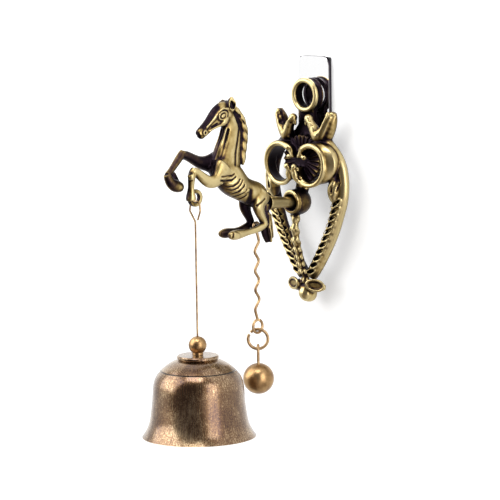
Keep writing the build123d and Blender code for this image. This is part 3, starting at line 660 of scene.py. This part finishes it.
# the grain keeps the piece under 200,000 triangles
ornament = casting("escutcheon", 0.30, ornament_strands)
places, outward, pairs = read_skin(ornament)
places = soften(places, pairs, 2)
across, depth, height = places[:, 0], -places[:, 1] - seat, places[:, 2]
# fronts and outer sides are painted lighter and other sides darker, partly as rubbing and partly as painted
# light and shade
toward = 0.62 * np.tanh(across / 1.5) * outward[:, 0] - 0.78 * outward[:, 1]
facing = 0.58 * np.clip(toward, -0.45, 1.0) - 0.27
# painted shade, with some less rubbing, darkens: rosette, web between the birds, ball of the boss, tube of the
# ring, lower legs, inner sides of the legs, wings, and backs of the legs and wings
low_legs = (height < -27.0) & (height > -59.5)
facing -= 0.75 * ((np.hypot(across, height + 16.4) < 9.4) & (depth < 7.5) & (np.abs(across) < 8.5))
facing -= 0.90 * ((np.abs(across) < 7.5) & (height > -10.5) & (height < 0.5) & (depth < 4.8))
facing -= 0.60 * ((np.hypot(across, height + 31.2) < 5.2) & (depth < 11.3) & (depth > 3.0))
facing -= 0.80 * ((height > -0.5) & (np.abs(across) < 7.5) & (depth < 3.6))
facing -= 0.28 * np.clip((-42.0 - height) / 8.0, 0, 1.3) * (height > -59.5) * (np.abs(across) > 2.5)
facing -= 0.42 * np.clip(-np.sign(across) * outward[:, 0], 0, 1) * low_legs
facing -= 0.16 * ((height > -9.0) & (height < 2.0) & (np.abs(across) > 3.0))
facing -= 0.50 * ((np.abs(across) > 8.5) & (depth < 3.2) & (height < -3.0))
ornament_lines = []
# lip of the ring, rubbed bright all round
ornament_lines.append(([(x, -(seat + 5.1), z) for x, z in
                        loop_of(20, lambda turn: (5.4 * math.cos(turn), 6.5 + 5.4 * math.sin(turn)))],
                       0.0, 0.8, 0.28))
# slots in the legs
for step in range(slot_count):
    share = step / (slot_count - 1)
    x, z = row_place(share)
    slope = math.radians(slot_slope - slot_turn * share)
    half = 1.7 * (1 - slot_shrink * share)
    along, rise = half * math.cos(slope), half * math.sin(slope)
    ornament_lines.append(([(x - along, -7.4, z - rise), (x + along, -7.4, z + rise)], 0.15, 0.5, 0.10))
    ornament_lines.append(([(x - 0.6 * half, -6.8, z - 0.4), (x + 0.6 * half, -6.8, z + 0.4)], 0.0, 1.1, 0.85))
# leaf at the head of each leg: an outline and a hollow
ornament_lines.append(([(17.3, -7.9, -20.8), (18.3, -7.8, -23.6), (17.0, -8.6, -26.6), (14.4, -8.0, -28.0),
                        (15.1, -9.3, -24.6), (17.3, -7.9, -20.8)], 0.25, 0.35, -0.5))
ornament_lines.append(([(17.1, -8.2, -22.4), (16.6, -9.0, -24.6), (15.4, -9.2, -26.8)], 0.5, 0.8, -0.12))
# feathers across the wings
for step in range(5):
    x, z = 9.4 + 0.95 * step, -7.6 + 1.6 * step
    ornament_lines.append(([(x - 0.9, -9.0 + 0.15 * step, z + 0.9), (x + 1.0, -7.9 + 0.15 * step, z),
                            (x + 2.8, -6.6 + 0.1 * step, z - 0.9)], 0.0, 0.45, -0.20))
for step in range(3):
    x, z = 5.2 + 1.2 * step, -2.4 - 1.6 * step
    ornament_lines.append(([(x - 1.2, -9.4, z - 0.9), (x + 1.2, -9.4, z + 0.9)], 0.3, 0.28, -0.35))
# gaps between the husks
for (husk_depth, z), (_, next_z) in zip(husks[:-1], husks[1:]):
    husk_y, gap = -(seat + husk_depth), 0.42 * z + 0.58 * next_z
    ornament_lines.append(([(-1.2, husk_y, gap), (1.2, husk_y, gap)], 0.0, 0.8, -0.30))
# outer part of each wing, left dark
ornament_lines.append(([(12.6, -6.0, -6.0), (14.2, -5.8, -2.6), (14.4, -5.6, 0.6)], 0.0, 1.6, -0.42))
# lower half of the boss's lip, darker as painted shade
ornament_lines.append(([(3.6 * math.cos(turn), -(seat + 12.0), -31.2 + 3.6 * math.sin(turn))
                        for turn in [math.radians(-190 + 20 * step) for step in range(11)]], 0.0, 1.3, -0.4))
places, facing = carve(places, outward, facing, ornament_lines)
finish_casting(ornament, places, outward, pairs, facing, "escutcheon")
ornament.data.materials.append(brass_with_painted_shade)
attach(ornament, "frame")
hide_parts("escutcheon")


# Magnet and arm screw
# A dark ferrite magnet in the rosette's back holds the casting on the strip. A steel screw goes
# from the back of the boss into the arm. Both are hidden from the front.
def fine_grained(name, dark, light, metallic, rough_low, rough_high):
    """Fine-grained dark material, dark and light being its two colours."""
    material, tree, output = new_material(name)
    shader = tree.nodes.new("ShaderNodeBsdfPrincipled")
    shader.inputs["Metallic"].default_value = metallic
    coordinates = tree.nodes.new("ShaderNodeTexCoord")
    grain = add_noise(tree, coordinates.outputs["Object"], 900.0, detail=6.0)
    tone = add_ramp(tree, grain.outputs["Fac"], [(0.3, dark), (0.7, light)])
    tree.links.new(tone.outputs[0], shader.inputs["Base Color"])
    dull = add_range(tree, grain.outputs["Fac"], (0.0, 1.0), (rough_low, rough_high))
    tree.links.new(dull.outputs[0], shader.inputs["Roughness"])
    add_bump(tree, grain.outputs["Fac"], 0.2, 0.00003, shader)
    tree.links.new(shader.outputs[0], output.inputs[0])
    return material


paint_node("magnet", fine_grained(
    "dark_ferrite", (0.018, 0.018, 0.020), (0.045, 0.045, 0.048), metallic=0.0, rough_low=0.55, rough_high=0.75))
paint_node("arm_screw", fine_grained(
    "dark_screw_steel", (0.10, 0.10, 0.105), (0.20, 0.20, 0.205), metallic=1.0, rough_low=0.35, rough_high=0.5))


# Horse
# One casting with the arm, the eyelet and the bar, in the same rubbed finish and painted shade as the ornament.
# The maker's cutter has drawn its ribs, eye, mouth, throat lines, mane and hooves.
def eye_loop(size):
    return [(2.45, -49.5 + size * (1.9 * math.cos(turn) - 0.3 * math.sin(turn)),
             2.75 + size * (0.6 * math.cos(turn) + 1.25 * math.sin(turn)))
            for turn in [2 * math.pi * step / 12 for step in range(13)]]


horse_strands = []
mane_locks = [(-43.6, 5.4, -38.6, 0.2), (-41.8, 4.0, -36.9, -3.0), (-40.2, 1.0, -36.6, -6.2),
              (-39.2, -2.2, -37.6, -9.4), (-39.2, -5.4, -38.8, -12.4), (-39.8, -8.6, -39.6, -15.6)]
for side in (-1, 1):
    # eyelids and eyeball
    strand(horse_strands, [(side * x, y, z, 0.27) for x, y, z in eye_loop(1.0)])
    strand(horse_strands, [(side * 2.2, -50.0, 2.6, 0.4), (side * 2.3, -49.0, 2.9, 0.4)])
    # ridge from the ear over the eye down to the nostril, cheek line and nostril ring
    strand(horse_strands, [(side * x, y, z, 0.42) for x, y, z in
                           ((2.1, -45.6, 5.0), (2.2, -47.5, 4.9), (2.1, -49.3, 5.2), (2.0, -51.4, 3.4),
                            (1.6, -54.9, 0.4), (1.5, -56.8, -0.9))])
    strand(horse_strands, [(side * 2.0, -50.2, -0.6, 0.5), (side * 1.9, -52.6, -1.0, 0.4),
                           (side * 1.6, -55.4, -2.2, 0.35)])
    strand(horse_strands, [(side * 1.8, -57.5 + 0.85 * math.cos(turn), -2.6 + 0.8 * math.sin(turn), 0.3)
                           for turn in [2 * math.pi * step / 8 for step in range(9)]])
    # rim of the ear
    strand(horse_strands, [(side * 2.2, -45.9, 4.6, 0.35), (side * 2.6, -46.9, 6.4, 0.35),
                           (side * 2.5, -45.6, 8.4, 0.3), (side * 2.6, -43.9, 6.6, 0.35),
                           (side * 2.2, -44.2, 4.8, 0.35)])
    # cords down the front of the neck
    strand(horse_strands, [(side * x, y, z, 0.42) for x, y, z in
                           ((1.1, -46.7, -1.8), (1.0, -47.8, -4.9), (1.0, -49.9, -8.2), (0.9, -51.9, -12.6))])
    # hair of the mane
    for root_y, root_z, tip_y, tip_z in mane_locks:
        half_y, half_z = (root_y + tip_y) / 2, (root_z + tip_z) / 2
        for shift in (0.0, 1.0):
            strand(horse_strands, [(side * 1.2, root_y - 0.8 + shift, root_z - 0.4, 0.35),
                                   (side * 2.0, half_y + 0.4 * shift, half_z + 0.4, 0.42),
                                   (side * (0.9 + 0.3 * shift), tip_y - 0.6 + 0.5 * shift, tip_z + 0.6, 0.22)])
    # hair of the tail
    strand(horse_strands, [(side * 0.9, -26.6, -33.4, 0.8), (side * 1.6, -27.2, -38.4, 1.05),
                           (side * 1.4, -25.9, -42.6, 0.9), (side * 1.0, -25.4, -44.0, 0.5)])
    strand(horse_strands, [(side * 0.7, -25.6, -34.0, 0.7), (side * 1.2, -25.4, -38.8, 0.9),
                           (side * 0.9, -24.6, -42.6, 0.6)])
# muzzle
strand(horse_strands, [(-1.0, -57.5, -3.0, 1.2), (-0.4, -57.6, -3.0, 1.95),
                       (0.4, -57.6, -3.0, 1.95), (1.0, -57.5, -3.0, 1.2)])
# knee, fetlock and hoof of the raised leg, knee of the leg with the eyelet, and the hind hooves
strand(horse_strands, [(-3.6, -64.0, -10.6, 1.6), (-3.6, -63.4, -10.2, 1.75), (-3.6, -62.6, -10.3, 1.4)])
strand(horse_strands, [(-3.6, -68.6, -15.6, 1.2), (-3.6, -68.5, -17.2, 1.8), (-3.6, -67.3, -19.4, 1.8),
                       (-3.6, -66.2, -20.8, 2.0), (-3.6, -65.2, -21.0, 1.5)])
strand(horse_strands, [(3.2, -66.2, -16.0, 1.2), (3.2, -65.9, -16.6, 1.45), (3.2, -65.9, -18.0, 1.1)])
strand(horse_strands, [(3.7, -47.2, -39.0, 1.3), (3.7, -45.8, -39.4, 1.6), (3.7, -44.2, -39.5, 1.2)])
horse = casting("horse", 0.22, horse_strands)
places, outward, pairs = read_skin(horse)
places = soften(places, pairs, 2)


def either_reach(path):
    """Distance of each place on the horse from a line or from its mirror image."""
    return np.minimum(reach_of(places, path), reach_of(places, [(-x, y, z) for x, y, z in path]))


# barrel and shoulders are smoothed before the ribs are cut
barrel = either_reach([(4.3, -50.5, -19.5), (4.3, -42.5, -24.0)])
shoulder = either_reach([(4.2, -47.6, -17.0), (4.4, -50.6, -14.4), (4.5, -54.0, -18.6)])
share = np.clip(1.6 - np.minimum(barrel, 1.15 * shoulder) / 3.2, 0, 1)[:, None]
places = places * (1 - share) + soften(places, pairs, 40) * share
# the outer sides are painted lightest and the fronts darkest, partly as rubbing and partly as painted shade, and
# the arm a little lighter
outer_side = outward[:, 0] * np.tanh(places[:, 0] / 1.2)
facing = 0.60 * np.clip(outer_side, -0.55, 1.0) - 0.30 - 0.34 * np.clip(-outward[:, 1], -0.2, 1)
facing += 0.08 * (places[:, 1] > -27.5)
horse_lines = [
    # ribs: dark lines and bright backs
    ([(4.6, -52.4, -18.1), (4.5, -50.0, -18.1), (4.3, -47.4, -18.2), (4.4, -46.3, -17.7)], 0.3, 0.32, -0.25),
    ([(4.5, -52.8, -19.4), (3.7, -49.8, -20.1), (4.1, -47.5, -19.9), (4.6, -45.8, -18.8)], 0.5, 0.36, -0.5),
    ([(2.2, -50.4, -21.6), (3.0, -48.3, -22.4), (3.8, -46.4, -22.2), (4.5, -44.6, -21.1),
      (4.7, -43.7, -19.9)], 0.5, 0.36, -0.5),
    ([(2.2, -48.5, -23.4), (3.1, -46.3, -23.7), (4.0, -44.4, -22.9), (4.6, -43.0, -21.5),
      (4.7, -42.2, -20.3)], 0.5, 0.34, -0.45),
    ([(2.4, -45.5, -25.1), (3.6, -43.9, -24.5), (4.4, -42.3, -23.2), (4.4, -41.2, -22.0)], 0.5, 0.34, -0.45),
    ([(1.6, -44.4, -26.2), (2.6, -43.0, -25.9), (3.8, -41.6, -25.0), (4.2, -40.2, -23.8)], 0.4, 0.32, -0.4),
    ([(0.9, -41.6, -27.4), (2.3, -40.7, -26.8), (3.2, -39.6, -25.8)], 0.35, 0.32, -0.4),
    ([(4.6, -52.2, -18.7), (4.2, -49.1, -19.2), (4.4, -47.2, -19.1), (4.5, -46.1, -18.3)], -0.25, 0.3, 0.12),
    ([(3.9, -51.7, -20.5), (3.4, -48.6, -21.3), (4.1, -46.6, -21.1), (4.6, -44.9, -20.0)], -0.25, 0.34, 0.12),
    # back, flank hollow, thigh and rump
    ([(3.1, -37.4, -21.2), (3.0, -34.7, -22.4), (3.2, -33.5, -23.1)], 0.0, 1.5, -0.28),
    ([(3.9, -37.6, -24.6), (3.3, -37.6, -26.9), (1.9, -36.9, -28.9)], 0.35, 1.0, -0.6),
    ([(4.1, -35.3, -29.9), (4.8, -33.6, -28.9), (4.7, -31.6, -27.8)], 0.4, 0.36, -0.35),
    ([(3.2, -29.0, -25.4), (3.4, -29.2, -28.0), (3.0, -29.0, -30.8)], 0.4, 0.4, -0.5),
    # face: dark nose, bright ridge, eye, mouth and muzzle
    ([(0.0, -50.6, 6.2), (0.0, -54.4, 2.6), (0.0, -58.2, -0.8)], 0.0, 1.2, -0.40),
    ([(2.1, -45.6, 5.3), (2.2, -47.5, 5.2), (2.1, -49.3, 5.5), (2.0, -51.4, 3.7), (1.6, -54.9, 0.7),
      (1.5, -56.6, -0.6)], 0.0, 0.4, 0.35),
    ([(1.2, -50.4, 5.4), (1.1, -54.4, 1.7), (0.9, -57.4, -0.9)], 0.4, 0.6, -0.6),
    ([(2.4, -52.3, 1.6), (2.0, -54.6, -0.3), (1.8, -56.2, -1.6)], 0.3, 0.32, -0.45),
    (eye_loop(1.38), 0.2, 0.28, -0.5),
    (eye_loop(0.62), 0.3, 0.24, -0.5),
    ([(2.0, -51.9, 0.1), (1.8, -54.2, -0.8)], 0.35, 0.3, -0.45),
    ([(0.0, -59.6, -3.2), (0.6, -58.8, -4.2), (0.6, -57.4, -4.8)], 0.0, 1.1, -0.5),
    ([(1.2, -59.4, -3.6), (1.7, -58.4, -3.9), (1.8, -56.8, -3.9)], 0.35, 0.28, -0.4),
    ([(2.0, -57.5, -1.8), (2.0, -56.7, -2.4), (2.0, -57.3, -3.2)], 0.0, 0.4, 0.35),
    ([(2.4, -46.2, 5.3), (2.3, -45.0, 6.8)], 0.25, 0.45, -0.6),
    # neck: dark front with its cords, groove under the mane, dark mane
    ([(0.4, -47.2, -2.6), (0.5, -48.9, -6.4), (0.5, -51.6, -12.0)], 0.4, 0.4, -0.4),
    ([(1.6, -46.2, -2.4), (1.7, -47.8, -6.4), (1.8, -50.6, -12.0)], 0.45, 0.38, -0.5),
    ([(2.4, -45.8, -3.0), (2.5, -47.3, -7.2), (2.6, -49.8, -12.2)], 0.0, 0.5, -0.35),
    ([(1.1, -46.9, -1.8), (1.0, -48.0, -4.9), (1.0, -50.1, -8.2), (0.9, -52.1, -12.6)], 0.0, 0.35, 0.25),
    ([(1.9, -42.9, 2.6), (1.9, -40.9, -2.1), (2.6, -42.4, -6.4), (3.2, -44.4, -11.1),
      (3.4, -45.0, -14.6)], 0.35, 0.6, -0.55),
    ([(1.2, -41.6, 4.0), (1.2, -38.4, -3.0), (1.2, -38.8, -9.6), (1.2, -41.4, -15.0)], 0.0, 1.7, -0.38),
    # tail and hooves
    ([(1.8, -26.8, -34.4), (2.6, -27.6, -38.4), (2.2, -26.4, -43.2)], 0.45, 0.3, -0.4),
    ([(1.6, -25.9, -34.4), (2.3, -26.2, -38.8), (1.9, -25.2, -43.0)], 0.4, 0.3, -0.4),
    ([(0.4, -27.2, -33.6), (0.8, -27.6, -38.6), (0.6, -25.6, -43.6)], 0.0, 2.4, -0.42),
    ([(5.2, -44.0, -38.2), (5.4, -44.5, -39.5), (5.0, -44.4, -41.0)], 0.35, 0.3, -0.4),
    ([(3.0, -66.8, -22.4), (3.4, -65.4, -23.0)], 0.3, 0.3, -0.4),
    ([(0.8, -62.6, -22.4), (0.8, -60.4, -24.6), (0.8, -62.6, -26.8), (0.8, -64.6, -24.6)], 0.0, 1.4, -0.35)]
# grooves between the locks of the mane
for root_y, root_z, tip_y, tip_z in mane_locks:
    half_y, half_z = (root_y + tip_y) / 2, (root_z + tip_z) / 2
    horse_lines.append(([(1.5, root_y - 0.2, root_z - 1.3), (2.2, half_y + 0.2, half_z - 0.7),
                         (1.4, tip_y - 0.3, tip_z - 0.2)], 0.4, 0.32, -0.4))
# the far ear lies back lower than the near one
ear_foot_z = 5.8
far_ear = (places[:, 0] < -0.6) & (places[:, 2] > ear_foot_z)
places[far_ear, 2] = ear_foot_z + 0.62 * (places[far_ear, 2] - ear_foot_z)
places, facing = carve(places, outward, facing, horse_lines)
finish_casting(horse, places, outward, pairs, facing, "horse")
horse.data.materials.append(brass_with_painted_shade)
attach(horse, "frame")
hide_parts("horse")


# Bell, bead and wires
# The bell is turned bronze, brushed up and down and aged brown, with one line cut round its shoulder.
# The wires, the bead and the ball are copper-coloured and only lightly aged.
bell_axis_y = -0.0613
bell_line_z = -0.08505
bell_rim_z = (-0.10815, -0.10845)


def aged_bronze():
    material, tree, output = new_material("aged_bronze")
    bronze = tree.nodes.new("ShaderNodeBsdfPrincipled")
    bronze.inputs["Metallic"].default_value = 1.0
    bronze.inputs["Coat Weight"].default_value = 0.5
    bronze.inputs["Coat IOR"].default_value = 1.6
    bronze.inputs["Coat Roughness"].default_value = 0.16
    place = tree.nodes.new("ShaderNodeTexCoord")
    centre = tree.nodes.new("ShaderNodeMapping")
    centre.inputs["Location"].default_value = (0, -bell_axis_y, 0)
    tree.links.new(place.outputs["Object"], centre.inputs[0])
    split = tree.nodes.new("ShaderNodeSeparateXYZ")
    tree.links.new(centre.outputs[0], split.inputs[0])
    angle = tree.nodes.new("ShaderNodeMath")
    angle.operation = "ARCTAN2"
    tree.links.new(split.outputs["X"], angle.inputs[0])
    tree.links.new(split.outputs["Y"], angle.inputs[1])
    turned = tree.nodes.new("ShaderNodeMath")
    turned.operation = "ABSOLUTE"
    tree.links.new(angle.outputs[0], turned.inputs[0])
    around = tree.nodes.new("ShaderNodeCombineXYZ")
    tree.links.new(turned.outputs[0], around.inputs["X"])
    tree.links.new(split.outputs["Z"], around.inputs["Y"])
    strokes = tree.nodes.new("ShaderNodeMapping")
    strokes.inputs["Scale"].default_value = (70, 130, 1)
    tree.links.new(around.outputs[0], strokes.inputs[0])
    brushed = add_noise(tree, strokes.outputs[0], 1.0, detail=5.0)
    cloud = add_noise(tree, place.outputs["Object"], 70.0, detail=6.0, roughness=0.65)
    speck = add_noise(tree, place.outputs["Object"], 2200.0, detail=3.0)
    first = tree.nodes.new("ShaderNodeMath")
    first.operation = "MULTIPLY_ADD"
    first.inputs[1].default_value = 0.45
    tree.links.new(brushed.outputs[0], first.inputs[0])
    tree.links.new(cloud.outputs[0], first.inputs[2])
    second = tree.nodes.new("ShaderNodeMath")
    second.operation = "MULTIPLY_ADD"
    second.inputs[1].default_value = 0.7
    tree.links.new(speck.outputs[0], second.inputs[0])
    tree.links.new(first.outputs[0], second.inputs[2])
    scaled = add_range(tree, second.outputs[0], (0.0, 1.45))
    tone = add_ramp(tree, scaled.outputs[0], [
        (0.58, (0.050, 0.020, 0.014)), (0.76, (0.165, 0.090, 0.040)), (0.92, (0.50, 0.37, 0.22))])
    # the cut line round the shoulder, and a paler band at the rim
    line_reach = tree.nodes.new("ShaderNodeMath")
    line_reach.operation = "ADD"
    line_reach.inputs[1].default_value = -bell_line_z
    tree.links.new(split.outputs["Z"], line_reach.inputs[0])
    line_near = tree.nodes.new("ShaderNodeMath")
    line_near.operation = "ABSOLUTE"
    tree.links.new(line_reach.outputs[0], line_near.inputs[0])
    line_dark = add_range(tree, line_near.outputs[0], (0.00010, 0.00026))
    lined = tree.nodes.new("ShaderNodeMix")
    lined.data_type = "RGBA"
    lined.inputs[colour_a].default_value = (0.012, 0.007, 0.005, 1)
    tree.links.new(line_dark.outputs[0], lined.inputs[0])
    tree.links.new(tone.outputs[0], lined.inputs[colour_b])
    rim_pale_band = add_range(tree, split.outputs["Z"], bell_rim_z)
    edged = tree.nodes.new("ShaderNodeMix")
    edged.data_type = "RGBA"
    edged.inputs[colour_b].default_value = (0.62, 0.50, 0.32, 1)
    tree.links.new(rim_pale_band.outputs[0], edged.inputs[0])
    tree.links.new(lined.outputs[colour_out], edged.inputs[colour_a])
    tree.links.new(edged.outputs[colour_out], bronze.inputs["Base Color"])
    rough = add_range(tree, brushed.outputs[0], (0.0, 1.0), (0.20, 0.34))
    tree.links.new(rough.outputs[0], bronze.inputs["Roughness"])
    add_bump(tree, brushed.outputs[0], 0.3, 0.00004, bronze)
    tree.links.new(bronze.outputs[0], output.inputs[0])
    return material


def copper_colour(name, dark, light, scale):
    """Lightly aged metal, dark and light being its two colours, clouded at a scale."""
    material, tree, output = new_material(name)
    copper = tree.nodes.new("ShaderNodeBsdfPrincipled")
    copper.inputs["Metallic"].default_value = 1.0
    place = tree.nodes.new("ShaderNodeTexCoord")
    cloud = add_noise(tree, place.outputs["Object"], scale, detail=5.0)
    tone = add_ramp(tree, cloud.outputs[0], [(0.34, dark), (0.60, light)])
    tree.links.new(tone.outputs[0], copper.inputs["Base Color"])
    rough = add_range(tree, cloud.outputs[0], (0.0, 1.0), (0.42, 0.26))
    tree.links.new(rough.outputs[0], copper.inputs["Roughness"])
    grain = add_noise(tree, place.outputs["Object"], 3000.0)
    add_bump(tree, grain.outputs[0], 0.25, 0.00003, copper)
    tree.links.new(copper.outputs[0], output.inputs[0])
    return material


wire_finish = copper_colour("copper_wire", (0.22, 0.13, 0.065), (0.50, 0.34, 0.18), 500.0)
ball_finish = copper_colour("aged_brass", (0.20, 0.115, 0.050), (0.40, 0.25, 0.115), 260.0)
paint_node("bell", aged_bronze())
for name in ("bell_wire", "striker_wire", "jump_ring", "ball_staple", "bell_washer"):
    paint_node(name, wire_finish)
for name in ("bell_bead", "striker_ball"):
    paint_node(name, ball_finish)
